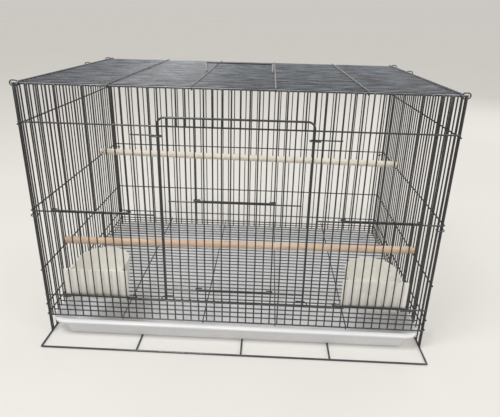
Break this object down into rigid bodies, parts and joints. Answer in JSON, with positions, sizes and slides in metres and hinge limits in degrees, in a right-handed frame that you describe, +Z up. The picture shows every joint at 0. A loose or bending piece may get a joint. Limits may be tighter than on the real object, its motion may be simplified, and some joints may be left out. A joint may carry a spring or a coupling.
{
  "type": "flight bird cage",
  "caption": "Wide wire flight cage with lift-up front doors, feeder doors with cups, perches, a wire floor over a pull-out tray, and a folding carrying handle.",
  "frame": {"origin": "bottom centre of the whole cage's bounding box, on the floor it stands on", "axes": "+X along the long side to the viewer's right, +Y from the front doors to the back, +Z up"},
  "size_m": [0.622, 0.4552, 0.4134],
  "materials": {
    "black_wire": "gloss black paint",
    "tray_plastic": "moulded, semi-gloss",
    "cup_plastic": "moulded, semi-gloss",
    "tan_dowel": "sanded, unvarnished",
    "cream_dowel": "sanded, unvarnished"
  },
  "bodies": {
    "cage": {"floor_frame": "black_wire", "floor_cross_wires": "black_wire", "front_panel_bars": "black_wire", "front_panel_rails": "black_wire", "front_top_wire": "black_wire", "rear_panel_bars": "black_wire", "rear_panel_rails": "black_wire", "rear_top_wire": "black_wire", "left_corner_posts": "black_wire", "left_panel_bars": "black_wire", "left_panel_rails": "black_wire", "left_top_wire": "black_wire", "right_corner_posts": "black_wire", "right_panel_bars": "black_wire", "right_panel_rails": "black_wire", "right_top_wire": "black_wire", "top_panel_wires": "black_wire", "top_panel_cross_wires": "black_wire", "floor_mesh_wires": "black_wire", "floor_mesh_cross_wires": "black_wire", "corner_rings": "black_wire", "top_rings": "black_wire", "door_guides": "black_wire"},
    "main_door": {"main_door_frame": "black_wire", "main_door_bars": "black_wire", "main_door_rails": "black_wire", "main_door_foot_wire": "black_wire"},
    "small_door": {"small_door_bars": "black_wire", "small_door_wires": "black_wire"},
    "left_feeder_door": {"left_feeder_door_bars": "black_wire", "left_feeder_door_wires": "black_wire"},
    "right_feeder_door": {"right_feeder_door_bars": "black_wire", "right_feeder_door_wires": "black_wire"},
    "left_cup": {"left_cup": "cup_plastic"},
    "right_cup": {"right_cup": "cup_plastic"},
    "lower_perch": {"lower_perch": "tan_dowel"},
    "upper_perch": {"upper_perch": "cream_dowel"},
    "tray": {"tray": "tray_plastic"},
    "carry_handle": {"carry_handle": "black_wire"}
  },
  "joints": [
    {"name": "main_door_lift", "type": "slide", "parent": "cage", "child": "main_door", "axis": [0, 0, 1], "range_m": [0, 0.2415]},
    {"name": "small_door_lift", "type": "slide", "parent": "main_door", "child": "small_door", "axis": [0, 0, 1], "range_m": [0, 0.1155]},
    {"name": "left_feeder_door_lift", "type": "slide", "parent": "cage", "child": "left_feeder_door", "axis": [0, 0, 1], "range_m": [0, 0.129]},
    {"name": "right_feeder_door_lift", "type": "slide", "parent": "cage", "child": "right_feeder_door", "axis": [0, 0, 1], "range_m": [0, 0.129]},
    {"name": "left_cup_lift", "type": "slide", "parent": "cage", "child": "left_cup", "axis": [0, 0, 1], "range_m": [0, 0.03]},
    {"name": "right_cup_lift", "type": "slide", "parent": "cage", "child": "right_cup", "axis": [0, 0, 1], "range_m": [0, 0.03]},
    {"name": "lower_perch_lift", "type": "slide", "parent": "cage", "child": "lower_perch", "axis": [0, 0, 1], "range_m": [0, 0.087]},
    {"name": "upper_perch_lift", "type": "slide", "parent": "cage", "child": "upper_perch", "axis": [0, 0, 1], "range_m": [0, 0.114]},
    {"name": "tray_pull", "type": "slide", "parent": "cage", "child": "tray", "axis": [0, -1, 0], "range_m": [0, 0.38]},
    {"name": "handle_swing", "type": "hinge", "parent": "cage", "child": "carry_handle", "pos_m": [0, 0.0044, 0.40715], "axis": [1, 0, 0], "range_deg": [0, 154]}
  ]
}
